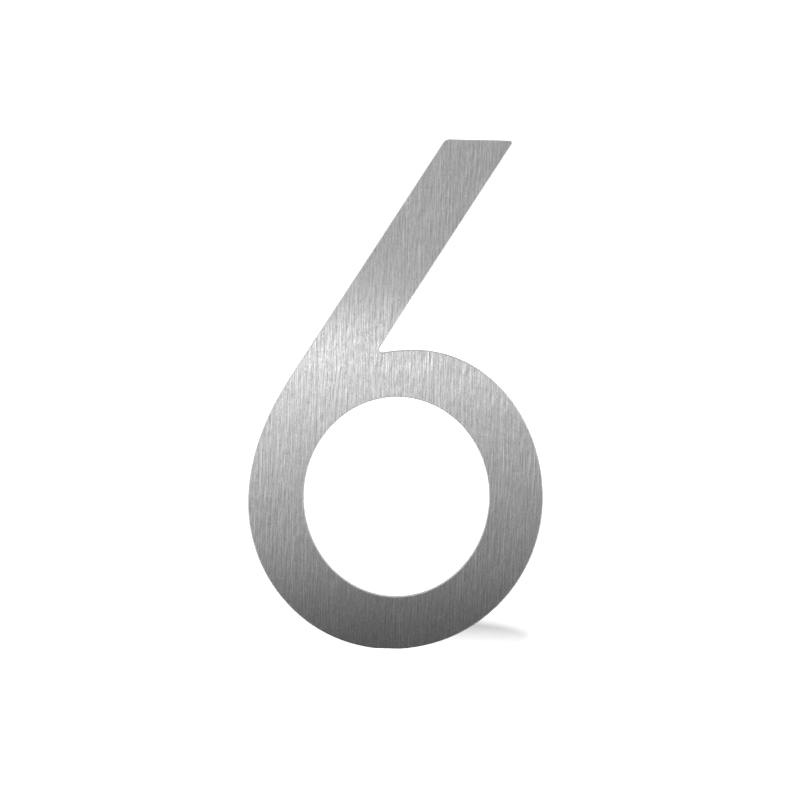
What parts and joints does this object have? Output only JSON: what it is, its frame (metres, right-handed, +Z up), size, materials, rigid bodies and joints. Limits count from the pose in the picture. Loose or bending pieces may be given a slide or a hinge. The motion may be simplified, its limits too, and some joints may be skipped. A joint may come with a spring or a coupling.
{
  "type": "house number",
  "caption": "Flat brushed stainless house number six with a straight leaning stem and an oval counter, standing off the wall on hidden rear studs in spacer sleeves.",
  "frame": {"origin": "halfway between the two studs, on the plane of the wall where the spacer sleeves end", "axes": "+X to the right as seen from the street, +Y into the wall along the studs, +Z up; the numeral's front faces -Y"},
  "size_m": [0.1155, 0.043, 0.2],
  "materials": {
    "brushed_plate": "vertically brushed stainless steel plate",
    "stud_steel": "bright rolled stainless thread",
    "spacer_steel": "fine turned stainless steel"
  },
  "bodies": {
    "root": {"numeral_plate": "brushed_plate", "stud_upper": "stud_steel", "stud_lower": "stud_steel", "spacer_upper": "spacer_steel", "spacer_lower": "spacer_steel"}
  },
  "joints": []
}
